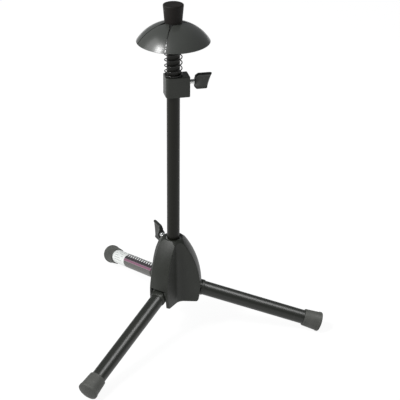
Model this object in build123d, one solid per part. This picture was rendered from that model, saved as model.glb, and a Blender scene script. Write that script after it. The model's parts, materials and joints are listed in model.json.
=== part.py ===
from build123d import *
import math
import os

# Folding trumpet stand. Millimetres, +Z up, origin on the floor under the post's axis.
# Three legs at 0, 120 and 240 degrees, a post in a moulded housing, and a sprung bell rest on top.

# legs
leg_angles = {"right": 0.0, "rear": 120.0, "front": 240.0}
leg_slope = 17.6
leg_radius = 8.0
leg_wall = 1.2
hinge_r = 22.0
hinge_z = 56.0
hinge_pin_radius = 2.5
hinge_pin_half = 11.2
running_gap = 0.05
loose_gap = 0.35
cut_over = 1.0

# knuckle that joins a leg to its hinge, measured along the leg from the hinge pin
eye_radius = 8.2
eye_half = 8.8
flange_start = 9.0
flange_end = 12.5
flange_radius = 8.8
flange_rounding = 0.6
spigot_end = 28.0
neck_radius = 7.4

# rubber foot
foot_radius = 11.1
foot_edge = 1.2
foot_lip = 3.0
foot_lip_step = 0.45
foot_mouth_radius = 9.5
foot_mouth_chamfer = 0.5
foot_length = 20.0
foot_dome = 1.8
foot_flat = 0.25
foot_socket_floor = 3.0
floor_cut_depth = 50.0
floor_cut_width = 800.0

# paper sleeve label on the rear leg
label_start = 32.0
label_thickness = 0.15
label_foot_gap = 0.3

# housing: an ogive cut down to three arms
housing_bottom = 41.0
housing_top = 116.9
shoulder_r = 10.6
belly_r = 31.6
belly_z = 62.0
flank_r = 23.5
flank_z = 96.1
hem_r = 30.0
hem_bulge = 0.35
crown_offset = 24.0
crown_trim_top = 11.3
crown_trim_mid = 28.2
crown_trim_mid_z = 96.0
crown_trim_low = 36.0
arm_half_low = 12.6
arm_half_top = 10.0
arm_reach = 50.0
valley_radius = 10.0
valley_reach = 17.6
hem_rounding = 3.0
ridge_rounding = 1.0
slot_half = 9.3
slot_inner_r = 13.2
slot_roof = 65.2
slot_mouth_z = 63.9
slot_wall_r = 27.8

# post and its bush
post_radius = 7.0
post_wall = 1.2
post_bottom = 43.0
post_top = 379.5
bush_radius = 8.9
bush_bottom = 95.0
bush_top = 115.7
plug_depth = 9.0
plug_lip = 1.2
plug_lip_radius = 6.5

# rubber tip
tip_bottom = 365.3
tip_top = 384.0
tip_low_radius = 9.15
tip_high_radius = 10.8
tip_edge = 1.2

# clamp screws, measured outwards from the post's axis
base_clamp_angle = 120.0
base_clamp_z = 106.0
collar_clamp_angle = 14.0
collar_clamp_z = 299.2
screw_radius = 2.5
pad_radius = 3.4
pad_chamber_radius = 3.75
pad_inner_r = 7.1
base_pad_outer_r = 9.6
base_chamber_r = 12.4
base_handle_r = 28.6
collar_pad_outer_r = 9.1
collar_chamber_r = 10.9
collar_handle_r = 22.4
nut_flat = 8.0
nut_height = 4.0
screw_grip = 9.0
screw_point = 0.5

# wing handle on each clamp screw
wing_length = 16.4
wing_half = 9.9
wing_flare = 4.8
wing_root_half = 4.2
wing_hub_radius = 4.9
wing_hub_nose = 2.2
wing_hub_length = 12.5
wing_plate = 3.0
wing_dish = 0.6
wing_bend_along = 0.28
wing_bend_across = 0.62
wing_corner = 1.0
wing_edge = 0.6
base_wing_turn = 88.0
collar_wing_turn = -70.0

# collar under the spring
collar_bottom = 285.3
collar_top = 307.4
collar_back = 9.2
collar_half = 9.0
collar_reach = 16.3
collar_corner = 1.4
collar_nose = 3.6
collar_rim = 0.6
collar_mouth_radius = 8.0
collar_mouth_depth = 1.1

# spring
spring_mean_radius = 9.0
spring_wire_radius = 0.6
spring_turns = 8.5

# bell rest: a hub carrying four petals of one spherical shell
shell_radius = 45.5
shell_wall = 1.7
rim_radius = 38.0
rim_z = 345.0
petal_root_r = 8.4
petal_gap = 1.2
gap_angles = [-161.0, -100.5, 16.0, 79.0]
petal_names = ["front", "right", "rear", "left"]
notch_r = 15.0
notch_root_half = 4.7
hub_bottom = 351.0
hub_radius = 15.5
hub_neck_radius = 11.6
hub_skirt = 2.0
hub_shoulder = 5.0
hub_top = 365.1
peg_radius = 1.6
peg_r = 12.5
peg_depth = 4.0
gap_cut_drop = 20.0
gap_cut_height = 60.0

slope = math.radians(leg_slope)
level = 0.99  # a face whose normal is this close to Z lies level
shell_centre_z = rim_z - math.sqrt(shell_radius**2 - rim_radius**2)


def ring(outer, inner, low, high):
    """A plain sleeve round the Z axis."""
    body = Cylinder(outer, high - low, align=(Align.CENTER, Align.CENTER, Align.MIN))
    body -= Cylinder(inner, high - low, align=(Align.CENTER, Align.CENTER, Align.MIN))
    return Pos(0, 0, low) * body


def rod_x(radius, start, end):
    """A rod along X from start to end."""
    rod = Cylinder(radius, end - start, align=(Align.CENTER, Align.CENTER, Align.MIN))
    return Pos(start, 0, 0) * Rot(0, 90, 0) * rod


def revolve_z(points):
    """A closed outline of (radius, z) points turned about the Z axis."""
    outline = make_face(Polyline([(r, 0, z) for r, z in points], close=True))
    return revolve(outline, Axis.Z)


def on_leg(piece, angle):
    """Move a piece built along X from the hinge pin to its place on a leg."""
    return Rot(0, 0, angle) * Pos(hinge_r, 0, hinge_z) * Rot(0, leg_slope, 0) * piece


def on_clamp(piece, angle, height):
    """Move a piece built along X from the post's axis to a clamp screw's axis."""
    return Pos(0, 0, height) * Rot(0, 0, angle) * piece


# ---- housing ----

def ogive(offset):
    """The housing's outer profile turned about a line set back from the axis, which flattens the arm's end."""
    top = Line((-offset, 0, housing_top), (shoulder_r, 0, housing_top))
    flank = ThreePointArc((shoulder_r, 0, housing_top), (flank_r, 0, flank_z), (belly_r, 0, belly_z))
    hem_start = housing_bottom + hem_rounding
    hem = ThreePointArc(
        (belly_r, 0, belly_z),
        ((belly_r + hem_r) / 2 + hem_bulge, 0, (belly_z + hem_start) / 2),
        (hem_r, 0, hem_start),
    )
    turn = math.sin(math.radians(45))
    corner = ThreePointArc(
        (hem_r, 0, hem_start),
        (hem_r - hem_rounding * (1 - turn), 0, hem_start - hem_rounding * turn),
        (hem_r - hem_rounding, 0, housing_bottom),
    )
    base = Line((hem_r - hem_rounding, 0, housing_bottom), (-offset, 0, housing_bottom))
    back = Line((-offset, 0, housing_bottom), (-offset, 0, housing_top))
    outline = make_face([top, flank, hem, corner, base, back])
    return revolve(outline, Axis((-offset, 0, 0), (0, 0, 1)))


def arm_slab():
    """One arm before its end is rounded: a slab that narrows slightly towards the top."""
    low = Pos(arm_reach / 2, 0, housing_bottom) * Rectangle(arm_reach, 2 * arm_half_low)
    high = Pos(arm_reach / 2, 0, housing_top) * Rectangle(arm_reach, 2 * arm_half_top)
    return loft([low.face(), high.face()])


def housing_blank():
    slabs = arm_slab()
    for angle in (120, 240):
        slabs += Rot(0, 0, angle) * arm_slab()
    valleys = [e for e in slabs.edges()
               if housing_bottom + cut_over < e.center().Z < housing_top - cut_over
               and math.hypot(e.center().X, e.center().Y) < valley_reach]
    blank = fillet(valleys, valley_radius)
    for angle in leg_angles.values():
        blank &= Rot(0, 0, angle) * ogive(crown_offset)
    trim = revolve(
        make_face([
            Line((0, 0, housing_top), (crown_trim_top, 0, housing_top)),
            ThreePointArc(
                (crown_trim_top, 0, housing_top),
                (crown_trim_mid, 0, crown_trim_mid_z),
                (crown_trim_low, 0, belly_z),
            ),
            Line((crown_trim_low, 0, belly_z), (crown_trim_low, 0, housing_bottom)),
            Line((crown_trim_low, 0, housing_bottom), (0, 0, housing_bottom)),
            Line((0, 0, housing_bottom), (0, 0, housing_top)),
        ]),
        Axis.Z,
    )
    blank &= trim
    ridges = blank.edges().filter_by(GeomType.BSPLINE)
    return fillet(ridges, ridge_rounding)


def leg_slot():
    """The pocket in one arm, open below and at the arm's end."""
    depth = arm_reach - slot_inner_r
    inner_depth = slot_wall_r - slot_inner_r
    low = housing_bottom - cut_over
    mouth = Pos(slot_inner_r, 0, low) * Box(
        depth, 2 * slot_half, slot_mouth_z - low, align=(Align.MIN, Align.CENTER, Align.MIN))
    room = Pos(slot_inner_r, 0, low) * Box(
        inner_depth, 2 * slot_half, slot_roof - low, align=(Align.MIN, Align.CENTER, Align.MIN))
    return mouth + room


def hinge_pin():
    pin = Cylinder(hinge_pin_radius, 2 * hinge_pin_half)
    return Pos(hinge_r, 0, hinge_z) * Rot(90, 0, 0) * pin


def nut_blank():
    """A hexagon prism along X that stands from 0 to the nut's height."""
    hexagon = RegularPolygon(nut_flat / 2, 6, major_radius=False)
    return Rot(0, 90, 0) * extrude(hexagon, nut_height)


def clamp_room(chamber_r, reach):
    """What a clamp takes out of its block: the pad's chamber, the nut's seat and the screw's way out."""
    room = rod_x(pad_chamber_radius, 0, chamber_r)
    room += Pos(chamber_r, 0, 0) * nut_blank()
    room += rod_x(screw_radius + loose_gap, chamber_r, reach)
    return room


def base_housing():
    body = housing_blank()
    for angle in leg_angles.values():
        body -= Rot(0, 0, angle) * leg_slot()
        body -= Rot(0, 0, angle) * hinge_pin()
    body -= Pos(0, 0, housing_bottom - cut_over) * Cylinder(
        post_radius + running_gap, housing_top - housing_bottom + 2 * cut_over,
        align=(Align.CENTER, Align.CENTER, Align.MIN))
    body -= Pos(0, 0, bush_bottom) * Cylinder(
        bush_radius, housing_top - bush_bottom + cut_over, align=(Align.CENTER, Align.CENTER, Align.MIN))
    body -= on_clamp(clamp_room(base_chamber_r, arm_reach), base_clamp_angle, base_clamp_z)
    return body


def post_bush():
    bush = ring(bush_radius, post_radius + running_gap, bush_bottom, bush_top)
    return bush - on_clamp(rod_x(pad_chamber_radius, 0, bush_radius + cut_over), base_clamp_angle, base_clamp_z)


# ---- legs ----

def leg_knuckle():
    eye = Rot(90, 0, 0) * Cylinder(eye_radius, 2 * eye_half)
    neck = Box(flange_start + cut_over, 2 * neck_radius, 2 * neck_radius, align=(Align.MIN, Align.CENTER, Align.CENTER))
    neck = fillet(neck.edges().filter_by(Axis.X), neck_radius / 2)
    body = eye + neck
    flange = rod_x(flange_radius, flange_start, flange_end)
    body += fillet(flange.edges().filter_by(GeomType.CIRCLE), flange_rounding)
    body += rod_x(leg_radius - leg_wall, flange_end - cut_over, spigot_end)
    return body - Rot(90, 0, 0) * Cylinder(hinge_pin_radius + running_gap, 2 * eye_half + 2 * cut_over)


def foot_end():
    """Where a foot's rim ends along the leg, so that its lowest edge reaches the floor."""
    drop = (foot_radius - foot_edge) * math.cos(slope) + foot_edge - foot_flat
    return (hinge_z - drop) / math.sin(slope) + foot_edge


def leg_tube():
    end = foot_end() - foot_socket_floor
    return rod_x(leg_radius, flange_end, end) - rod_x(leg_radius - leg_wall, flange_end, end)


def foot_cap():
    end = foot_end()
    mouth = end - foot_length
    lip = end - foot_lip
    lip_root = foot_radius - foot_lip_step
    mouth_edge = foot_mouth_radius - foot_mouth_chamfer
    turn = math.sin(math.radians(45))
    edge_r = foot_radius - foot_edge
    dome_radius = (edge_r**2 + foot_dome**2) / (2 * foot_dome)
    dome_turn = math.asin(edge_r / dome_radius) / 2
    dome_back = end + foot_dome - dome_radius
    dome_mid = (dome_back + dome_radius * math.cos(dome_turn), 0, dome_radius * math.sin(dome_turn))
    outline = make_face([
        Line((mouth, 0, 0), (mouth, 0, mouth_edge)),
        Line((mouth, 0, mouth_edge), (mouth + foot_mouth_chamfer, 0, foot_mouth_radius)),
        Line((mouth + foot_mouth_chamfer, 0, foot_mouth_radius), (lip - foot_lip_step, 0, lip_root)),
        Line((lip - foot_lip_step, 0, lip_root), (lip, 0, foot_radius)),
        Line((lip, 0, foot_radius), (end - foot_edge, 0, foot_radius)),
        ThreePointArc(
            (end - foot_edge, 0, foot_radius),
            (end - foot_edge * (1 - turn), 0, edge_r + foot_edge * turn),
            (end, 0, edge_r),
        ),
        ThreePointArc((end, 0, edge_r), dome_mid, (end + foot_dome, 0, 0)),
        Line((end + foot_dome, 0, 0), (mouth, 0, 0)),
    ])
    cap = revolve(outline, Axis.X)
    return cap - rod_x(leg_radius, mouth - cut_over, end - foot_socket_floor)


def foot_on_floor(angle):
    """A foot in its place, with the small flat that it wears where it stands."""
    cap = on_leg(foot_cap(), angle)
    below = Box(floor_cut_width, floor_cut_width, floor_cut_depth, align=(Align.CENTER, Align.CENTER, Align.MAX))
    return cap - below


def leg_label():
    end = foot_end() - foot_length - label_foot_gap
    sleeve = rod_x(leg_radius + label_thickness, label_start, end)
    return sleeve - rod_x(leg_radius, label_start, end)


# ---- post ----

def post_tube():
    return ring(post_radius, post_radius - post_wall, post_bottom, post_top)


def post_end_plug():
    """The plug that closes the tube's lower end, with a lip under the tube."""
    body = Pos(0, 0, post_bottom) * Cylinder(
        post_radius - post_wall, plug_depth, align=(Align.CENTER, Align.CENTER, Align.MIN))
    lip = Pos(0, 0, post_bottom - plug_lip) * Cylinder(
        plug_lip_radius, plug_lip, align=(Align.CENTER, Align.CENTER, Align.MIN))
    return body + lip


def rubber_tip():
    tip = revolve_z([(0, tip_bottom), (tip_low_radius, tip_bottom), (tip_high_radius, tip_top), (0, tip_top)])
    tip = fillet(tip.edges().sort_by(Axis.Z)[-1], tip_edge)
    bore = Pos(0, 0, tip_bottom - cut_over) * Cylinder(
        post_radius, post_top - tip_bottom + cut_over, align=(Align.CENTER, Align.CENTER, Align.MIN))
    return tip - bore


# ---- clamps ----

def clamp_nut(chamber_r):
    nut = Pos(chamber_r, 0, 0) * nut_blank()
    return nut - rod_x(screw_radius + running_gap, chamber_r - cut_over, chamber_r + nut_height + cut_over)


def clamp_pad(outer_r):
    """A nylon pad between screw and post, hollowed to the post's curve."""
    pad = rod_x(pad_radius, 0, outer_r)
    return pad - Cylinder(pad_inner_r, 4 * pad_radius)


def clamp_screw(start_r, handle_r):
    screw = rod_x(screw_radius, start_r, handle_r + screw_grip)
    return chamfer(screw.edges().filter_by(GeomType.CIRCLE).sort_by(Axis.X)[0], screw_point)


def wing_handle(handle_r, turn):
    """A moulded wing: a tapered hub inside one broad plate whose outer edge is slightly hollow."""
    waist = wing_length - wing_dish
    bend = wing_root_half + (wing_half - wing_root_half) * wing_bend_across
    bend_at = wing_flare * wing_bend_along
    side = ThreePointArc((0, wing_root_half), (bend_at, bend), (wing_flare, wing_half))
    upper = Line((wing_flare, wing_half), (wing_length, wing_half))
    tip = ThreePointArc((wing_length, wing_half), (waist, 0), (wing_length, -wing_half))
    lower = Line((wing_length, -wing_half), (wing_flare, -wing_half))
    other_side = ThreePointArc((wing_flare, -wing_half), (bend_at, -bend), (0, -wing_root_half))
    root = Line((0, -wing_root_half), (0, wing_root_half))
    plate = extrude(make_face([side, upper, tip, lower, other_side, root]), wing_plate / 2, both=True)
    corners = plate.edges().filter_by(Axis.Z).sort_by(Axis.X)[-2:]
    plate = fillet(corners, wing_corner)
    faces = [f for f in plate.faces() if f.normal_at().Z**2 > level]
    plate = fillet([e for f in faces for e in f.edges()], wing_edge)
    hub = Cone(wing_hub_radius, wing_hub_nose, wing_hub_length, align=(Align.CENTER, Align.CENTER, Align.MIN))
    body = plate + Rot(0, 90, 0) * hub
    body -= rod_x(screw_radius, -cut_over, screw_grip)
    return Pos(handle_r, 0, 0) * Rot(turn, 0, 0) * body


# ---- collar, spring and bell rest ----

def collar_block():
    """A block round the post with a boss on one side for the clamp, turned with the clamp about the post."""
    height = collar_top - collar_bottom
    block = Pos(-collar_back, 0, collar_bottom) * Box(
        collar_back + collar_reach, 2 * collar_half, height, align=(Align.MIN, Align.CENTER, Align.MIN))
    uprights = block.edges().filter_by(Axis.Z)
    nose = [e for e in uprights if e.center().X < 0 and e.center().Y < 0]
    block = fillet(nose, collar_nose)
    others = [e for e in block.edges().filter_by(Axis.Z) if e.center().X > 0 or e.center().Y > 0]
    block = fillet(others, collar_corner)
    ends = [f for f in block.faces() if f.normal_at().Z**2 > level]
    block = fillet([e for f in ends for e in f.edges()], collar_rim)
    block = Rot(0, 0, collar_clamp_angle) * block
    block -= Pos(0, 0, collar_bottom - cut_over) * Cylinder(
        post_radius + running_gap, height + 2 * cut_over, align=(Align.CENTER, Align.CENTER, Align.MIN))
    block -= Pos(0, 0, collar_top - collar_mouth_depth) * Cone(
        post_radius + running_gap, collar_mouth_radius, collar_mouth_depth,
        align=(Align.CENTER, Align.CENTER, Align.MIN))
    return block - on_clamp(clamp_room(collar_chamber_r, arm_reach), collar_clamp_angle, collar_clamp_z)


def spring():
    """An open coil between the collar's top and the hub's underside."""
    length = hub_bottom - collar_top - 2 * spring_wire_radius
    path = Helix(length / spring_turns, length, spring_mean_radius)
    wire = Plane(origin=path @ 0, z_dir=path % 0) * Circle(spring_wire_radius)
    return Pos(0, 0, collar_top + spring_wire_radius) * sweep(wire, path)


def shell_height(r, radius):
    return shell_centre_z + math.sqrt(radius**2 - r**2)


def bell_shell():
    """The whole spherical shell, from the petals' roots to the rim."""
    inner = shell_radius - shell_wall
    inner_rim = rim_radius * inner / shell_radius
    inner_rim_z = shell_height(inner_rim, inner)
    mid = (petal_root_r + rim_radius) / 2
    mid_inner = (petal_root_r + inner_rim) / 2
    return revolve(
        make_face([
            Line((petal_root_r, 0, shell_height(petal_root_r, inner)),
                 (petal_root_r, 0, shell_height(petal_root_r, shell_radius))),
            ThreePointArc((petal_root_r, 0, shell_height(petal_root_r, shell_radius)),
                          (mid, 0, shell_height(mid, shell_radius)), (rim_radius, 0, rim_z)),
            Line((rim_radius, 0, rim_z), (inner_rim, 0, inner_rim_z)),
            ThreePointArc((inner_rim, 0, inner_rim_z), (mid_inner, 0, shell_height(mid_inner, inner)),
                          (petal_root_r, 0, shell_height(petal_root_r, inner))),
        ]),
        Axis.Z,
    )


def gap_cutter(angle):
    """A slit from the hub to the rim, opened to a V beside the hub."""
    reach = 2 * rim_radius
    half = petal_gap / 2
    outline = make_face(Polyline([
        (0, -notch_root_half), (notch_r, -half), (reach, -half),
        (reach, half), (notch_r, half), (0, notch_root_half),
    ], close=True))
    return Rot(0, 0, angle) * Pos(0, 0, hub_bottom - gap_cut_drop) * extrude(outline, gap_cut_height)


def petal_peg(angle):
    """The peg under a petal that plugs into the hub."""
    top = shell_height(peg_r, shell_radius) - shell_wall / 2
    low = shell_height(peg_r, shell_radius - shell_wall) - peg_depth
    peg = Pos(peg_r, 0, low) * Cylinder(peg_radius, top - low, align=(Align.CENTER, Align.CENTER, Align.MIN))
    return Rot(0, 0, angle) * peg


def petal_middles():
    """Each petal's middle direction, between neighbouring gaps."""
    gaps = sorted(gap_angles)
    nexts = gaps[1:] + [gaps[0] + 360]
    return [(a + b) / 2 for a, b in zip(gaps, nexts)]


def petals():
    shell = bell_shell()
    for angle in gap_angles:
        shell -= gap_cutter(angle)
    found = {}
    for name, angle in zip(petal_names, petal_middles()):
        direction = Vector(math.cos(math.radians(angle)), math.sin(math.radians(angle)), 0)
        piece = max(shell.solids(), key=lambda s: s.center().dot(direction))
        found[name] = piece + petal_peg(angle)
    return found


def dome_hub():
    inner = shell_radius - shell_wall
    low_z = shell_height(hub_radius, inner)
    skirt_z = low_z - hub_skirt
    neck_z = low_z - hub_shoulder
    outline = make_face([
        Line((post_radius + running_gap, 0, hub_bottom), (post_radius + running_gap, 0, hub_top)),
        Line((post_radius + running_gap, 0, hub_top), (petal_root_r, 0, hub_top)),
        Line((petal_root_r, 0, hub_top), (petal_root_r, 0, shell_height(petal_root_r, inner))),
        ThreePointArc((petal_root_r, 0, shell_height(petal_root_r, inner)),
                      ((petal_root_r + hub_radius) / 2, 0, shell_height((petal_root_r + hub_radius) / 2, inner)),
                      (hub_radius, 0, low_z)),
        Line((hub_radius, 0, low_z), (hub_radius, 0, skirt_z)),
        Line((hub_radius, 0, skirt_z), (hub_neck_radius, 0, neck_z)),
        Line((hub_neck_radius, 0, neck_z), (hub_neck_radius, 0, hub_bottom)),
        Line((hub_neck_radius, 0, hub_bottom), (post_radius + running_gap, 0, hub_bottom)),
    ])
    hub = revolve(outline, Axis.Z)
    for angle in petal_middles():
        hub -= petal_peg(angle)
    return hub


def write(node, piece):
    piece.label = node
    export_step(piece, f"parts/{node}.step")


def main():
    os.makedirs("parts", exist_ok=True)
    write("base_housing", base_housing())
    write("post_bush", post_bush())
    write("base_clamp_nut", on_clamp(clamp_nut(base_chamber_r), base_clamp_angle, base_clamp_z))
    write("base_clamp_pad", on_clamp(clamp_pad(base_pad_outer_r), base_clamp_angle, base_clamp_z))
    write("base_clamp_screw", on_clamp(
        clamp_screw(base_pad_outer_r, base_handle_r), base_clamp_angle, base_clamp_z))
    write("base_wing_handle", on_clamp(wing_handle(base_handle_r, base_wing_turn), base_clamp_angle, base_clamp_z))
    for side, angle in leg_angles.items():
        write(f"hinge_pin_{side}", Rot(0, 0, angle) * hinge_pin())
        write(f"knuckle_{side}", on_leg(leg_knuckle(), angle))
        write(f"leg_tube_{side}", on_leg(leg_tube(), angle))
        write(f"foot_cap_{side}", foot_on_floor(angle))
    write("leg_label", on_leg(leg_label(), leg_angles["rear"]))
    write("post_tube", post_tube())
    write("post_end_plug", post_end_plug())
    write("rubber_tip", rubber_tip())
    write("collar_block", collar_block())
    write("collar_clamp_nut", on_clamp(clamp_nut(collar_chamber_r), collar_clamp_angle, collar_clamp_z))
    write("collar_clamp_pad", on_clamp(clamp_pad(collar_pad_outer_r), collar_clamp_angle, collar_clamp_z))
    write("collar_clamp_screw", on_clamp(
        clamp_screw(collar_pad_outer_r, collar_handle_r), collar_clamp_angle, collar_clamp_z))
    write("collar_wing_handle", on_clamp(
        wing_handle(collar_handle_r, collar_wing_turn), collar_clamp_angle, collar_clamp_z))
    write("spring", spring())
    write("dome_hub", dome_hub())
    for name, piece in petals().items():
        write(f"petal_{name}", piece)
    print("foot rim end along the leg", round(foot_end(), 2))
    print("petal middles", [round(a, 1) for a in petal_middles()])


main()
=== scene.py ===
import json
import math

import bmesh
import bpy
from mathutils import Matrix, Vector

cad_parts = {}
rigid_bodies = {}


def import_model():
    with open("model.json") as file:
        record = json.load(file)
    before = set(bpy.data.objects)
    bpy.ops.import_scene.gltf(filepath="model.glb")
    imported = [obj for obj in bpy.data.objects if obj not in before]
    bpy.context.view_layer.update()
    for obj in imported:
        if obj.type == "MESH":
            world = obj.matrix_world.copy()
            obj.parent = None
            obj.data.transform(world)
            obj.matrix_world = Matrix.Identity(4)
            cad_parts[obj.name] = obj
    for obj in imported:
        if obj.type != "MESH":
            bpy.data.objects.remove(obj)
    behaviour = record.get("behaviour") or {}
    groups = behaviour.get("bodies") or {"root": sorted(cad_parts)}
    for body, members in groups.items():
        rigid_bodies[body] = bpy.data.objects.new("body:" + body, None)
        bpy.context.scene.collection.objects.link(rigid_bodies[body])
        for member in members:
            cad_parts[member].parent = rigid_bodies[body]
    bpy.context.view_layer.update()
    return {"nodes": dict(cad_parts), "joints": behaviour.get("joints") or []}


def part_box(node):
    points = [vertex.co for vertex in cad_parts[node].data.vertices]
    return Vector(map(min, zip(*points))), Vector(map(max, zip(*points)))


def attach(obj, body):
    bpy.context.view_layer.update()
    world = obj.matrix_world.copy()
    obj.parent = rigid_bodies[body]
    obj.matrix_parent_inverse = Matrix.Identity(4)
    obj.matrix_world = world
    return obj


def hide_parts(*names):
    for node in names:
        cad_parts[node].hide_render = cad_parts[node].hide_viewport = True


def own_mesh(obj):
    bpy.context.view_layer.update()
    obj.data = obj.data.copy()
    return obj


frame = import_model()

print("frame loaded:", len(frame["nodes"]), "nodes")

mm = 0.001


class Signal:
    # one output socket, so that sums on it are written as plain expressions
    def __init__(self, graph, socket):
        self.graph = graph
        self.socket = socket

    def maths(self, operation, first, second=0.0):
        return self.graph.add("ShaderNodeMath", {"operation": operation}, {0: first, 1: second})

    def __add__(self, other):
        return self.maths("ADD", self, other)

    def __radd__(self, other):
        return self.maths("ADD", other, self)

    def __sub__(self, other):
        return self.maths("SUBTRACT", self, other)

    def __rsub__(self, other):
        return self.maths("SUBTRACT", other, self)

    def __mul__(self, other):
        return self.maths("MULTIPLY", self, other)

    def __rmul__(self, other):
        return self.maths("MULTIPLY", other, self)

    def __truediv__(self, other):
        return self.maths("DIVIDE", self, other)

    def atLeast(self, other):
        return self.maths("MAXIMUM", self, other)

    def atMost(self, other):
        return self.maths("MINIMUM", self, other)

    def wave(self):
        return self.maths("SINE", self)

    def cosine(self):
        return self.maths("COSINE", self)

    def repeat(self, length):
        return self.maths("FLOORED_MODULO", self, length)

    def size(self):
        return self.maths("ABSOLUTE", self)

    def ramp(self, low, high):
        # 0 below low, 1 above high, and smooth between
        return self.graph.add(
            "ShaderNodeMapRange", {"interpolation_type": "SMOOTHSTEP"},
            {"Value": self, "From Min": low, "From Max": high})

    def band(self, low, high, soft):
        return self.ramp(low - soft, low + soft) * (1 - self.ramp(high - soft, high + soft))


class Graph:
    def __init__(self, tree):
        self.tree = tree

    def add(self, kind, settings=None, sockets=None, out=0):
        node = self.tree.nodes.new(kind)
        for name, value in (settings or {}).items():
            setattr(node, name, value)
        for name, value in (sockets or {}).items():
            if isinstance(value, Signal):
                self.tree.links.new(value.socket, node.inputs[name])
            else:
                node.inputs[name].default_value = value
        return Signal(self, node.outputs[out]) if node.outputs else None

    def vector(self, x, y, z):
        return self.add("ShaderNodeCombineXYZ", None, {0: x, 1: y, 2: z})

    def split(self, vector):
        first = self.add("ShaderNodeSeparateXYZ", None, {0: vector})
        return [Signal(self, end) for end in first.socket.node.outputs]


class Finish(Graph):
    # a material, built round one Principled BSDF
    def __init__(self, name):
        self.material = bpy.data.materials.new(name)
        self.material.use_nodes = True
        super().__init__(self.material.node_tree)
        self.tree.nodes.clear()
        self.place = self.add("ShaderNodeTexCoord", out="Object")

    def noise(self, perMetre, detail=2.0, rough=0.5, stretch=(1, 1, 1)):
        spot = self.add("ShaderNodeMapping", None, {"Vector": self.place, "Scale": stretch})
        return self.add(
            "ShaderNodeTexNoise", None,
            {"Vector": spot, "Scale": perMetre, "Detail": detail, "Roughness": rough})

    def mix(self, share, first, second):
        return self.add("ShaderNodeMix", {"data_type": "RGBA"}, {0: share, 6: first, 7: second}, out=2)

    def bump(self, height, strength, depth):
        return self.add(
            "ShaderNodeBump", None, {"Height": height, "Strength": strength, "Distance": depth})

    def surface(self, **sockets):
        named = {name.replace("_", " "): value for name, value in sockets.items()}
        shader = self.add("ShaderNodeBsdfPrincipled", None, named)
        self.add("ShaderNodeOutputMaterial", None, {"Surface": shader})
        return self.material


# what the finishes of one kind share; a noise is its scale per metre, detail, roughness, stretch
grainedKind = {
    "cloudDetail": 3, "cloudSpan": (0.3, 0.7), "cloudRoughness": 0.06,
    "rubDetail": 5, "rubRough": 0.6, "rubSpan": (0.56, 0.72), "rubGloss": 0.05,
    "grainDetail": 2, "grainRough": 0.6, "ior": 1.4,
}
glossKind = {
    "cloud": (35, 2), "flow": (55, 1), "flowStrength": 0.35, "flowDepth": 0.00035,
    "wipe": (260, 3, 0.6, (1, 9, 3)), "wipeSpan": (0.52, 0.75), "wipeRoughness": 0.07,
    "specks": (2600, 1), "speckSpan": (0.72, 0.8), "speckShare": 0.35, "speckRoughness": 0.25,
    "ior": 1.5,
}
coatKind = {
    "peel": (620, 2, 0.55), "fine": (2100, 2, 0.5), "cloud": (22, 3),
    "scuff": (90, 6, 0.7, (1, 1, 0.35)), "scuffSpan": (0.63, 0.72), "scuffShare": 0.5,
    "fineRoughness": 0.06, "scuffRoughness": 0.1,
    "peelShare": 0.8, "fineShare": 0.2, "peelStrength": 0.4,
}
rubberKind = {
    "patches": (70, 4, 0.6), "patchSpan": (0.35, 0.75),
    "pits": (1800, 3, 0.6), "pitStrength": 0.35, "pitDepth": 0.0001,
    "wear": (160, 5, 0.65), "wearSpan": (0.5, 0.75), "wearShare": 0.3, "wearGloss": 0.1,
}
metalKind = {
    "lineScale": 900, "lineDetail": 3, "lineRough": 0.6, "lineRoughness": 0.12,
    "lineStrength": 0.2, "lineDepth": 0.00004,
    "stain": (130, 4, 0.6), "stainSpan": (0.5, 0.8), "stainShare": 0.5, "stainRoughness": 0.1,
}


def grainedPlastic(name, look):
    # moulded plastic: spark-eroded grain, slow cloudiness, and a few rubbed spots
    look = dict(grainedKind, **look)
    finish = Finish(name)
    cloud = finish.noise(look["cloud"], look["cloudDetail"])
    rub = finish.noise(look["rub"], look["rubDetail"], look["rubRough"]).ramp(*look["rubSpan"])
    colour = finish.mix(cloud.ramp(*look["cloudSpan"]), look["dark"], look["light"])
    colour = finish.mix(rub * look["rubShare"], colour, look["rubbed"])
    grain = finish.noise(look["grain"], look["grainDetail"], look["grainRough"])
    return finish.surface(
        Base_Color=colour,
        Roughness=look["roughness"] + cloud * look["cloudRoughness"] - rub * look["rubGloss"],
        IOR=look["ior"],
        Normal=finish.bump(grain, look["grainStrength"], look["grainDepth"]))


def glossPlastic(name, look):
    # polished moulding: hardly any relief, faint flow waves, wiping marks and specks of dust
    look = dict(glossKind, **look)
    finish = Finish(name)
    cloud = finish.noise(*look["cloud"])
    wipe = finish.noise(*look["wipe"]).ramp(*look["wipeSpan"])
    specks = finish.noise(*look["specks"]).ramp(*look["speckSpan"])
    colour = finish.mix(cloud, look["dark"], look["light"])
    colour = finish.mix(specks * look["speckShare"], colour, look["dust"])
    uneven = wipe * look["wipeRoughness"] + specks * look["speckRoughness"]
    return finish.surface(
        Base_Color=colour,
        Roughness=look["roughness"] + uneven,
        IOR=look["ior"],
        Coat_Weight=look["coat"],
        Coat_Roughness=look["coatRoughness"],
        Normal=finish.bump(finish.noise(*look["flow"]), look["flowStrength"], look["flowDepth"]))


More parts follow.
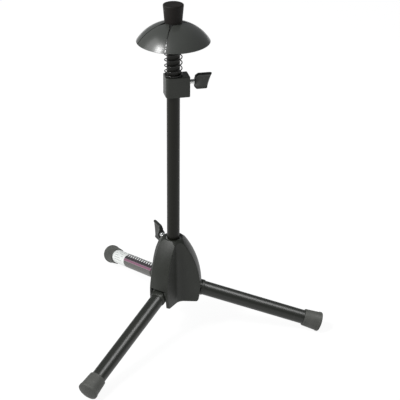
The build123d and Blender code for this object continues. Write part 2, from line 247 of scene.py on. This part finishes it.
def powderCoat(name, look):
    # satin powder coat on steel tube, with its orange peel and a few scuffs
    look = dict(coatKind, **look)
    finish = Finish(name)
    peel, fine, cloud = (finish.noise(*look[part]) for part in ("peel", "fine", "cloud"))
    scuff = finish.noise(*look["scuff"]).ramp(*look["scuffSpan"])
    colour = finish.mix(cloud, look["dark"], look["light"])
    colour = finish.mix(scuff * look["scuffShare"], colour, look["scuffed"])
    relief = peel * look["peelShare"] + fine * look["fineShare"]
    uneven = fine * look["fineRoughness"] + scuff * look["scuffRoughness"]
    return finish.surface(
        Base_Color=colour,
        Roughness=look["roughness"] + uneven,
        IOR=look["ior"],
        Normal=finish.bump(relief, look["peelStrength"], look["peelDepth"]))


def blackRubber(name, look):
    # matt rubber with a dry bloom and fine pits
    look = dict(rubberKind, **look)
    finish = Finish(name)
    patches = finish.noise(*look["patches"]).ramp(*look["patchSpan"])
    wear = finish.noise(*look["wear"]).ramp(*look["wearSpan"])
    colour = finish.mix(patches, look["dark"], look["bloom"])
    return finish.surface(
        Base_Color=finish.mix(wear * look["wearShare"], colour, look["worn"]),
        Roughness=look["roughness"] - wear * look["wearGloss"],
        IOR=look["ior"],
        Normal=finish.bump(finish.noise(*look["pits"]), look["pitStrength"], look["pitDepth"]))


def platedSteel(name, look):
    # bright or blackened metal with drawing lines and a little tarnish
    look = dict(metalKind, **look)
    finish = Finish(name)
    lines = finish.noise(look["lineScale"], look["lineDetail"], look["lineRough"], look["grainWay"])
    stain = finish.noise(*look["stain"]).ramp(*look["stainSpan"])
    uneven = lines * look["lineRoughness"] + stain * look["stainRoughness"]
    return finish.surface(
        Base_Color=finish.mix(stain * look["stainShare"], look["bright"], look["tarnished"]),
        Metallic=look["metallic"],
        Roughness=look["roughness"] + uneven,
        Normal=finish.bump(lines, look["lineStrength"], look["lineDepth"]))


def satinNylon(name, look):
    finish = Finish(name)
    cloud = finish.noise(*look["cloud"])
    return finish.surface(
        Base_Color=finish.mix(cloud, look["dark"], look["light"]),
        Roughness=look["roughness"] + cloud * look["cloudRoughness"],
        IOR=look["ior"],
        Normal=finish.bump(finish.noise(*look["grain"]), look["grainStrength"], look["grainDepth"]))


def printedSleeve(name, look):
    # vinyl sleeve: U runs along the leg and V round it, both 0 to 1
    finish = Finish(name)
    along, angle = finish.split(finish.add("ShaderNodeTexCoord", out="UV"))[:2]
    along = along * look["length"]                         # millimetres
    angle = angle * 360.0 - 180.0                          # degrees, 0 uppermost
    edge = look["softEdge"]
    panel = 1 - along.ramp(look["panelEnd"] - look["panelSoft"], look["panelEnd"] + look["panelSoft"])

    # pale slanted blocks along the panel's dark upper band
    middle, half = look["markMiddle"], look["markHalf"]
    lean = along + (angle - middle) * look["markLean"]
    block = lean.repeat(look["markPitch"]).band(
        look["markFrom"], look["markPitch"] * look["markFill"], look["markSoft"])
    block = block * angle.band(middle - half, middle + half, look["stripSoft"]) * panel
    darkBand = angle.band(look["darkFrom"], look["stripeFrom"], edge) * panel
    stripe = angle.band(look["stripeFrom"], look["stripeTo"], edge) * panel
    lower = angle.band(look["stripeTo"], look["lowerTo"], edge) * panel
    rim = along.band(
        look["panelEnd"] - look["rimBefore"], look["panelEnd"] + look["rimAfter"], look["panelSoft"])
    rim = rim * angle.band(look["darkFrom"], look["lowerTo"], edge)

    # broken ruled lines on the white end
    ruled = (angle / look["rulePitch"]).repeat(1.0).band(
        look["ruleFrom"], look["ruleTo"], look["ruleSoft"])
    dash = (along + angle * look["ruleLean"]).repeat(look["ruleLength"]).band(
        look["dashFrom"], look["ruleLength"] * look["dashFill"], look["dashSoft"])
    reach = along.band(
        look["panelEnd"] + look["ruleClear"], look["length"] - look["ruleStop"], look["reachSoft"])
    ruled = ruled * dash * reach * angle.band(
        middle - look["ruleAbove"], look["stripeFrom"] + look["ruleBelow"], edge)

    fleck = finish.noise(*look["fleck"])
    colour = finish.mix(fleck, look["paper"], look["paperShade"])
    colour = finish.mix(ruled * look["ruleShare"], colour, look["rule"])
    inks = ((lower, "lower"), (darkBand, "dark"), (stripe, "stripe"), (block, "mark"), (rim, "dark"))
    for where, ink in inks:
        colour = finish.mix(where, colour, look[ink])
    return finish.surface(
        Base_Color=colour,
        Roughness=look["roughness"] + fleck * look["fleckRoughness"],
        IOR=look["ior"],
        Normal=finish.bump(finish.noise(*look["waves"]), look["waveStrength"], look["waveDepth"]))


finishes = {
    "housing": grainedPlastic("housingPlastic", {
        "dark": (0.0132, 0.0148, 0.0115, 1), "light": (0.0172, 0.0189, 0.0152, 1),
        "rubbed": (0.03, 0.031, 0.029, 1), "rubShare": 0.35, "cloud": 40, "rub": 75,
        "grain": 1500, "grainStrength": 0.3, "grainDepth": 0.00012, "roughness": 0.40}),
    "wing": grainedPlastic("wingPlastic", {
        "dark": (0.0125, 0.0141, 0.0115, 1), "light": (0.0172, 0.0188, 0.016, 1),
        "rubbed": (0.04, 0.041, 0.039, 1), "rubShare": 0.5, "cloud": 90, "rub": 160,
        "grain": 1900, "grainStrength": 0.22, "grainDepth": 0.00008, "roughness": 0.42}),
    "hub": grainedPlastic("hubPlastic", {
        "dark": (0.03, 0.031, 0.03, 1), "light": (0.038, 0.039, 0.038, 1),
        "rubbed": (0.07, 0.07, 0.068, 1), "rubShare": 0.4, "cloud": 90, "rub": 150,
        "grain": 1700, "grainStrength": 0.22, "grainDepth": 0.0001, "roughness": 0.42}),
    # painted highlight: this mid-grey base colour stands in for the bright glints on the rim of a black
    # plastic bush
    "bush": grainedPlastic("bushPlastic", {
        "dark": (0.17, 0.172, 0.168, 1), "light": (0.21, 0.213, 0.208, 1),
        "rubbed": (0.3, 0.3, 0.295, 1), "rubShare": 0.5, "cloud": 90, "rub": 190,
        "grain": 1700, "grainStrength": 0.15, "grainDepth": 0.00008, "roughness": 0.24}),
    "petal": glossPlastic("petalPlastic", {
        "dark": (0.036, 0.0385, 0.0345, 1), "light": (0.042, 0.0445, 0.0405, 1),
        "dust": (0.1, 0.1, 0.1, 1), "roughness": 0.31, "coat": 0.2, "coatRoughness": 0.18}),
    "tube": powderCoat("tubePaint", {
        "dark": (0.0075, 0.0085, 0.0062, 1), "light": (0.0098, 0.0108, 0.0085, 1),
        "scuffed": (0.02, 0.02, 0.019, 1), "roughness": 0.33, "peelDepth": 0.00002, "ior": 1.45}),
    "post": powderCoat("postPaint", {
        "dark": (0.0048, 0.0048, 0.0028, 1), "light": (0.0065, 0.0065, 0.0042, 1),
        "scuffed": (0.012, 0.012, 0.011, 1), "roughness": 0.35, "peelDepth": 0.00005, "ior": 1.3}),
    "foot": blackRubber("footRubber", {
        "dark": (0.045, 0.0465, 0.042, 1), "bloom": (0.062, 0.0635, 0.058, 1),
        "worn": (0.08, 0.08, 0.076, 1), "roughness": 0.6, "ior": 1.36}),
    "rubber": blackRubber("blackRubber", {
        "dark": (0.006, 0.0046, 0.0036, 1), "bloom": (0.0105, 0.0085, 0.0075, 1),
        "worn": (0.018, 0.017, 0.016, 1), "roughness": 0.62, "ior": 1.3}),
    "zinc": platedSteel("zincPlate", {
        "bright": (0.8, 0.81, 0.8, 1), "tarnished": (0.5, 0.5, 0.49, 1),
        "grainWay": (1, 1, 1), "metallic": 1.0, "roughness": 0.17}),
    "spring": platedSteel("springSteel", {
        "bright": (0.045, 0.045, 0.044, 1), "tarnished": (0.02, 0.02, 0.019, 1),
        "grainWay": (1, 1, 4), "metallic": 0.9, "roughness": 0.17}),
    "nylon": satinNylon("blackNylon", {
        "dark": (0.03, 0.03, 0.029, 1), "light": (0.042, 0.042, 0.04, 1),
        "cloud": (120, 3), "cloudRoughness": 0.1, "roughness": 0.5, "ior": 1.53,
        "grain": (1500, 2), "grainStrength": 0.2, "grainDepth": 0.00005}),
}


def paint(finish, *nodes):
    for node in nodes:
        for spot in frame["nodes"][node].material_slots:
            spot.material = finishes[finish]


sides = ("right", "rear", "front")
petals = [node for node in frame["nodes"] if node.startswith("petal_")]
paint("housing", "base_housing", "collar_block", *[f"knuckle_{side}" for side in sides])
paint("wing", "base_wing_handle", "collar_wing_handle", "post_end_plug")
paint("hub", "dome_hub")
paint("bush", "post_bush")
paint("petal", *petals)
paint("tube", *[f"leg_tube_{side}" for side in sides])
paint("post", "post_tube")
paint("rubber", "rubber_tip")
paint("foot", *[f"foot_cap_{side}" for side in sides])
paint("zinc", "base_clamp_nut", "collar_clamp_nut", "base_clamp_screw", "collar_clamp_screw")
paint("zinc", *[f"hinge_pin_{side}" for side in sides])
paint("nylon", "base_clamp_pad", "collar_clamp_pad")
print("materials made:", len(finishes))


class Pattern(Graph):
    # a geometry node tree with named inputs, run once on an empty mesh
    def __init__(self, name, inputs):
        tree = bpy.data.node_groups.new(name, "GeometryNodeTree")
        super().__init__(tree)
        self.ids = {}
        for title, value in inputs.items():
            whole = isinstance(value, int)
            kind = "NodeSocketInt" if whole else "NodeSocketFloat"
            made = tree.interface.new_socket(name=title, in_out="INPUT", socket_type=kind)
            made.default_value = value
            self.ids[title] = made.identifier
        tree.interface.new_socket(name="Geometry", in_out="OUTPUT", socket_type="NodeSocketGeometry")
        self.entry = self.add("NodeGroupInput").socket.node
        self.inputs = inputs

    def given(self, title):
        return Signal(self, self.entry.outputs[title])

    def close(self, geometry, material):
        real = self.add("GeometryNodeRealizeInstances", None, {"Geometry": geometry})
        made = self.add("GeometryNodeSetMaterial", None, {"Geometry": real, "Material": material})
        self.add("NodeGroupOutput", None, {0: made})

    def run(self, name):
        holder = bpy.data.objects.new(name, bpy.data.meshes.new(name + "Seed"))
        bpy.context.scene.collection.objects.link(holder)
        modifier = holder.modifiers.new(name, "NODES")
        modifier.node_group = self.tree
        for title, identifier in self.ids.items():
            modifier[identifier] = self.inputs[title]
        ready = holder.evaluated_get(bpy.context.evaluated_depsgraph_get())
        mesh = bpy.data.meshes.new_from_object(ready)
        holder.modifiers.remove(modifier)
        holder.data = mesh
        return holder


def smooth(piece):
    piece.data.polygons.foreach_set("use_smooth", [True] * len(piece.data.polygons))
    piece.data.update()


# the spring: a helix whose end turns close up
springLook = {"wire": 0.6 * mm, "turns": 8.5, "closedTurns": 1.0, "stepsPerTurn": 40, "sides": 12}


def makeSpring(look):
    low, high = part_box("spring")
    inputs = {
        "Radius": (high.x - low.x) / 2 - look["wire"],
        "Wire": look["wire"],
        "Bottom": low.z + look["wire"],
        "Top": high.z - look["wire"],
        "Turns": look["turns"],
        "Closed": look["closedTurns"],
        "Steps": int(look["turns"] * look["stepsPerTurn"]),
        "Sides": look["sides"],
    }
    tree = Pattern("springCoil", inputs)
    line = tree.add("GeometryNodeMeshLine", None, {"Count": tree.given("Steps") + 1})
    curve = tree.add("GeometryNodeMeshToCurve", None, {"Mesh": line})
    turn = tree.add("GeometryNodeInputIndex") / tree.given("Steps") * tree.given("Turns")
    closed = tree.given("Closed")
    lay = 2 * tree.given("Wire")                          # a closed turn climbs by one wire
    openTurns = tree.given("Turns") - 2 * closed
    openRise = tree.given("Top") - tree.given("Bottom") - 2 * closed * lay
    first = turn.atMost(closed) * lay
    middle = (turn - closed).atLeast(0).atMost(openTurns) * (openRise / openTurns)
    last = (turn - closed - openTurns).atLeast(0) * lay
    height = tree.given("Bottom") + first + middle + last
    angle = turn * math.tau
    radius = tree.given("Radius")
    spot = tree.vector(angle.cosine() * radius, angle.wave() * radius, height)
    curve = tree.add("GeometryNodeSetPosition", None, {"Geometry": curve, "Position": spot})
    section = tree.add(
        "GeometryNodeCurvePrimitiveCircle", None,
        {"Resolution": tree.given("Sides"), "Radius": tree.given("Wire")})
    wire = tree.add(
        "GeometryNodeCurveToMesh", None, {"Curve": curve, "Profile Curve": section, "Fill Caps": True})
    wire = tree.add("GeometryNodeSetShadeSmooth", None, {"Geometry": wire})
    tree.close(wire, finishes["spring"])
    piece = tree.run("springCoil")
    pressed = next(j for j in frame["joints"] if j["name"] == "bell_rest_press")
    length = high.z - low.z
    (length + pressed["range_m"][0]) / length
    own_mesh(piece)
    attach(piece, "collar")
    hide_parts("spring")
    return piece


makeSpring(springLook)
print("spring made")


# clamp screws with a rolled thread
screwLook = {
    "pitch": 0.8 * mm, "depth": 0.42 * mm, "flanks": (0.15, 0.85), "sides": 32, "ringsPerPitch": 8,
    "point": 0.9 * mm, "pointShare": 0.72, "seat": 3.0 * mm,
}


def clampAxis(joint):
    turn = next(j for j in frame["joints"] if j["name"] == joint)
    return Vector(turn["pos_m"]), Vector(turn["axis"])


def screwReach(node, start, axis):
    spans = [(v.co - start).dot(axis) for v in frame["nodes"][node].data.vertices]
    return min(spans), max(spans)


def makeScrew(node, wing, joint, body, look):
    start, axis = clampAxis(joint)
    low, high = screwReach(node, start, axis)
    high = min(high, screwReach(wing, start, axis)[0] + look["seat"])
    around = [((v.co - start) - axis * (v.co - start).dot(axis)).length
              for v in frame["nodes"][node].data.vertices]
    inputs = {
        "Radius": max(around), "Depth": look["depth"], "Pitch": look["pitch"],
        "Length": high - low, "Point": look["point"], "Sides": look["sides"],
        "Rings": int((high - low) / look["pitch"] * look["ringsPerPitch"]),
    }
    tree = Pattern("threadedRod", inputs)
    blank = tree.add(
        "GeometryNodeMeshCylinder", {"fill_type": "TRIANGLE_FAN"},
        {"Vertices": tree.given("Sides"), "Side Segments": tree.given("Rings"),
         "Radius": 1.0, "Depth": tree.given("Length")})
    place = tree.add("GeometryNodeInputPosition")
    x, y, z = tree.split(place)
    angle = x.maths("ARCTAN2", y, x) / math.tau
    climb = (z / tree.given("Pitch") - angle).repeat(1.0)
    groove = 1 - (climb * 2 - 1).size()                   # 0 at the root, 1 at the crest
    taper = ((z + tree.given("Length") / 2) / tree.given("Point")).atMost(1.0)
    radius = tree.given("Radius") - tree.given("Depth") * (1 - groove.ramp(*look["flanks"]))
    radius = radius * (look["pointShare"] + (1 - look["pointShare"]) * taper)
    moved = tree.vector(x * radius, y * radius, z + tree.given("Length") / 2)
    rod = tree.add("GeometryNodeSetPosition", None, {"Geometry": blank, "Position": moved})
    rod = tree.add("GeometryNodeSetShadeSmooth", None, {"Geometry": rod})
    tree.close(rod, finishes["zinc"])
    piece = tree.run(node + "_thread")
    turned = Matrix.Translation(start + axis * low) @ axis.to_track_quat("Z", "Y").to_matrix().to_4x4()
    piece.data.transform(turned)
    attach(piece, body)
    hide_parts(node)
    return piece


for part in ("base", "collar"):
    makeScrew(
        f"{part}_clamp_screw", f"{part}_wing_handle", f"{part}_screw_turn", f"{part}_screw", screwLook)
print("clamp screws threaded")


# wing handles: a broad plate that swells into its hub, dished for the thumb; in millimetres
wingLook = {
    "root": 6.6, "flare": 3.6, "waist": 0.6, "half": 10.5, "plate": 1.25, "lip": 1.1, "slant": 0.1,
    "hub": 3.2, "hubWidth": 4.8, "hubFade": 7.5, "dish": 0.6, "dishFrom": 0.6,
    "corner": 1.4, "cornerDepth": 0.5, "lipFrom": 0.7, "lipSpan": 0.25, "edgeSquare": 14, "endSquare": 24,
    "nearTip": 0.97, "steps": 26, "across": 30, "weld": 0.01,
}


def eased(value):
    value = min(1.0, max(0.0, value))
    return value * value * (3 - 2 * value)


def wingWidth(along, length, look):
    # half the plate's width at a distance from its root
    grown = look["root"] + (look["half"] - look["root"]) * eased(along / look["flare"]) ** look["waist"]
    left = max(0.0, length - along) / look["corner"]
    if left >= 1:
        return grown
    return grown - look["corner"] * look["cornerDepth"] * (1 - math.sqrt(1 - (1 - left) ** 2))


def wingThick(along, share, width, look):
    # half the thickness: hub in the middle, thin web, a rounded lip round the edge
    across = share * width
    hub = look["hub"] * (1 - eased(along / look["hubFade"]))
    swell = hub * math.exp(-(across / look["hubWidth"]) ** 2)
    lip = look["lip"] * eased((abs(share) - look["lipFrom"]) / look["lipSpan"])
    rounded = math.sqrt(max(0.0, 1 - abs(share) ** look["edgeSquare"]))
    return (look["plate"] + lip + swell) * rounded


def makeWing(node, joint, body, look):
    start, axis = clampAxis(joint)
    verts = [v.co for v in frame["nodes"][node].data.vertices]
    spans = [(v - start).dot(axis) for v in verts]
    low, high = min(spans), max(spans)
    far = [(v - start) - axis * (v - start).dot(axis) for v in verts]
    tip = max(far, key=lambda v: v.length)
    rims = [v for v in far if v.length > tip.length * look["nearTip"] and v.dot(tip) > 0]
    edge = sum(rims, Vector()).normalized()                # across the plate
    edge = edge if edge.z > 0 else -edge
    face = axis.cross(edge)
    length = (high - low) / mm
    steps, across = look["steps"], look["across"]
    points = []
    for upper in (1, -1):
        for step in range(steps + 1):
            along = length * step / steps
            width = wingWidth(along, length, look)
            for place in range(across + 1):
                share = math.sin((place / across - 0.5) * math.pi)
                hollow = eased((along / length - look["dishFrom"]) / (1 - look["dishFrom"]))
                dish = look["dish"] * (1 - share * share) * hollow
                end = math.sqrt(max(0.0, 1 - (along / length) ** look["endSquare"]))
                thick = wingThick(along, share, width, look) * end
                reach = along * (1 + look["slant"] * share * eased(along / length))
                spot = axis * (reach - dish) + edge * (share * width) + face * (upper * thick)
                points.append(start + axis * low + spot * mm)
    row = across + 1
    half = (steps + 1) * row
    faces = []
    for step in range(steps):
        for place in range(across):
            a = step * row + place
            faces.append((a, a + 1, a + row + 1, a + row))
            faces.append((half + a, half + a + row, half + a + row + 1, half + a + 1))
    for place in range(across):                            # the root's flat end
        faces.append((place, half + place, half + place + 1, place + 1))
    mesh = bpy.data.meshes.new(node + "_mesh")
    mesh.from_pydata(points, [], faces)
    shell = bmesh.new()
    shell.from_mesh(mesh)
    bmesh.ops.remove_doubles(shell, verts=shell.verts, dist=look["weld"] * mm)
    bmesh.ops.recalc_face_normals(shell, faces=shell.faces)
    shell.to_mesh(mesh)
    shell.free()
    mesh.materials.append(finishes["wing"])
    piece = bpy.data.objects.new(node + "_moulded", mesh)
    bpy.context.scene.collection.objects.link(piece)
    smooth(piece)
    finer = piece.modifiers.new("finer", "SUBSURF")
    finer.levels = finer.render_levels = 1
    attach(piece, body)
    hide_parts(node)
    return piece


for part in ("base", "collar"):
    makeWing(f"{part}_wing_handle", f"{part}_screw_turn", f"{part}_screw", wingLook)
print("wing handles made")


# label sleeve on the rear leg; lengths along it in millimetres, places round it in degrees
labelLook = {
    "around": 96, "alongSteps": 40, "lapWidth": 9.0, "lapRise": 0.03 * mm, "wallShare": 0.9,
    "lead": 11.0 * mm,                                     # starts this much nearer to the hinge
    "panelEnd": 76.0, "panelSoft": 0.15, "rimBefore": 0.5, "rimAfter": 0.1, "softEdge": 2.0,
    "markMiddle": 10.0, "markHalf": 14.0, "markLean": 0.11, "markPitch": 6.2, "markFrom": 0.8,
    "markFill": 0.62, "markSoft": 0.2, "stripSoft": 1.5,
    "darkFrom": -14.0, "stripeFrom": 50.0, "stripeTo": 69.0, "lowerTo": 176.0,
    "rulePitch": 19.0, "ruleFrom": 0.35, "ruleTo": 0.6, "ruleSoft": 0.1, "ruleLean": 0.31,
    "ruleLength": 27.0, "dashFrom": 1.2, "dashFill": 0.8, "dashSoft": 0.3, "ruleClear": 5.0,
    "ruleStop": 6.0, "reachSoft": 0.5, "ruleAbove": 22, "ruleBelow": 45, "ruleShare": 0.6,
    "paper": (0.68, 0.7, 0.68, 1), "paperShade": (0.62, 0.64, 0.62, 1), "rule": (0.1, 0.105, 0.1, 1),
    "dark": (0.014, 0.008, 0.012, 1), "stripe": (0.16, 0.05, 0.1, 1), "lower": (0.05, 0.05, 0.044, 1),
    "mark": (0.6, 0.615, 0.6, 1), "roughness": 0.38, "ior": 1.5,
    "fleck": (900, 3, 0.6), "fleckRoughness": 0.05,
    "waves": (420, 2), "waveStrength": 0.15, "waveDepth": 0.0001,
}


def makeLabel(look):
    fold = next(j for j in frame["joints"] if j["name"] == "fold_rear")
    hinge = Vector(fold["pos_m"])
    side = Vector(fold["axis"])                            # across the leg
    verts = [v.co for v in frame["nodes"]["leg_label"].data.vertices]
    middle = sum(verts, Vector()) / len(verts)
    way = middle - hinge
    way = (way - side * way.dot(side)).normalized()        # down the leg
    up = way.cross(side)
    if up.z < 0:
        up = -up
    spans = [(v - hinge).dot(way) for v in verts]
    radii = [(v - hinge - way * (v - hinge).dot(way)).length for v in verts]
    low, high, outer, inner = min(spans) - look["lead"], max(spans), max(radii), min(radii)
    look = dict(look, length=(high - low) / mm)
    rings = look["alongSteps"]
    turns = look["around"]
    points, faces = [], []
    for ring in range(rings + 1):
        centre = hinge + way * (low + (high - low) * ring / rings)
        for step in range(turns + 1):
            angle = math.tau * step / turns - math.pi      # 0 is uppermost, + towards side
            lap = max(0.0, 1 - (math.pi - abs(angle)) / math.radians(look["lapWidth"]))
            radius = outer - look["lapRise"] * (1 - lap)
            points.append(centre + (up * math.cos(angle) + side * math.sin(angle)) * radius)
    for ring in range(rings):
        for step in range(turns):
            a = ring * (turns + 1) + step
            faces.append((a, a + turns + 1, a + turns + 2, a + 1))
    mesh = bpy.data.meshes.new("labelSleeve")
    mesh.from_pydata(points, [], faces)
    layer = mesh.uv_layers.new(name="sleeve")
    for loop in mesh.loops:
        ring, step = divmod(loop.vertex_index, turns + 1)
        layer.data[loop.index].uv = (ring / rings, step / turns)
    piece = bpy.data.objects.new("label_sleeve", mesh)
    bpy.context.scene.collection.objects.link(piece)
    mesh.materials.append(printedSleeve("labelSleeve", look))
    first = mesh.polygons[0]
    if first.normal.dot(first.center - hinge - way * (first.center - hinge).dot(way)) < 0:
        mesh.flip_normals()
    wall = piece.modifiers.new("wall", "SOLIDIFY")
    wall.thickness = (outer - inner) * look["wallShare"]
    wall.offset = -1
    smooth(piece)
    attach(piece, "leg_rear")
    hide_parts("leg_label")
    return piece


makeLabel(labelLook)
print("label sleeve made")


# floor, light and camera
studio = {
    "floorHalf": 8.0, "floorColour": (0.1, 0.1, 0.1, 1), "floorFleck": (0.09, 0.09, 0.09, 1),
    "fleck": (9, 2), "fleckShare": 0.1, "floorRoughness": 0.9, "floorGlow": 0.93,
    "worldColour": (0.95, 0.98, 1.0, 1), "worldStrength": 0.3, "lampAim": 0.2,
}
lamps = {
    "key": {"way": (-0.52, -0.38, 0.76), "distance": 1.6, "size": 0.42, "power": 19.0},
    "side": {"way": (-0.9, -0.25, 0.75), "distance": 1.8, "size": 1.5, "power": 17.0},
    "right": {"way": (0.5, -0.12, 0.86), "distance": 1.3, "size": 0.62, "power": 15.0},
}


def makeFloor(look):
    half = look["floorHalf"]
    mesh = bpy.data.meshes.new("floor")
    corners = [(-half, -half, 0), (half, -half, 0), (half, half, 0), (-half, half, 0)]
    mesh.from_pydata(corners, [], [(0, 1, 2, 3)])
    floor = bpy.data.objects.new("floor", mesh)
    bpy.context.scene.collection.objects.link(floor)
    finish = Finish("floorPaper")
    share = finish.noise(*look["fleck"]) * look["fleckShare"]
    mesh.materials.append(finish.surface(
        Base_Color=finish.mix(share, look["floorColour"], look["floorFleck"]),
        Roughness=look["floorRoughness"],
        Emission_Color=(1, 1, 1, 1),
        Emission_Strength=look["floorGlow"]))


def makeLamp(name, look):
    lamp = bpy.data.lights.new(name, "AREA")
    lamp.shape = "SQUARE"
    lamp.size = look["size"]
    lamp.energy = look["power"]
    holder = bpy.data.objects.new(name, lamp)
    aim = Vector((0, 0, studio["lampAim"]))
    holder.location = aim + Vector(look["way"]).normalized() * look["distance"]
    holder.rotation_euler = (aim - holder.location).to_track_quat("-Z", "Y").to_euler()
    holder.visible_camera = False
    bpy.context.scene.collection.objects.link(holder)
    return holder


cameraLook = {
    "azimuth": 2.507, "elevation": 27.402, "distance": 1.32, "aimHeight": 0.1625,
    "lens": 109.3, "sensor": 36.0, "shiftX": 0.0667,
}


def makeCamera(look):
    turn, lift = math.radians(look["azimuth"]), math.radians(look["elevation"])
    away = Vector((math.cos(lift) * math.sin(turn), -math.cos(lift) * math.cos(turn), math.sin(lift)))
    lens = bpy.data.cameras.new("view")
    lens.lens = look["lens"]
    lens.sensor_width = look["sensor"]
    lens.shift_x = look["shiftX"]
    holder = bpy.data.objects.new("view", lens)
    aim = Vector((0, 0, look["aimHeight"]))
    holder.location = aim + away * look["distance"]
    holder.rotation_euler = (-away).to_track_quat("-Z", "Y").to_euler()
    bpy.context.scene.collection.objects.link(holder)
    bpy.context.scene.camera = holder


def makeWorld(look):
    world = bpy.data.worlds.new("studio")
    bpy.context.scene.world = world
    world.use_nodes = True
    shade = next(n for n in world.node_tree.nodes if n.type == "BACKGROUND")
    shade.inputs["Color"].default_value = look["worldColour"]
    shade.inputs["Strength"].default_value = look["worldStrength"]


makeFloor(studio)
makeWorld(studio)
holders = {name: makeLamp(name, look) for name, look in lamps.items()}
legsOnly = bpy.data.collections.new("legsOnly")            # the right lamp is flagged off the rest
for part in ("leg_tube", "knuckle", "foot_cap"):
    for side in sides:
        legsOnly.objects.link(frame["nodes"][f"{part}_{side}"])
holders["right"].light_linking.receiver_collection = legsOnly
makeCamera(cameraLook)
bpy.context.scene.view_settings.view_transform = "Standard"
print("studio set")
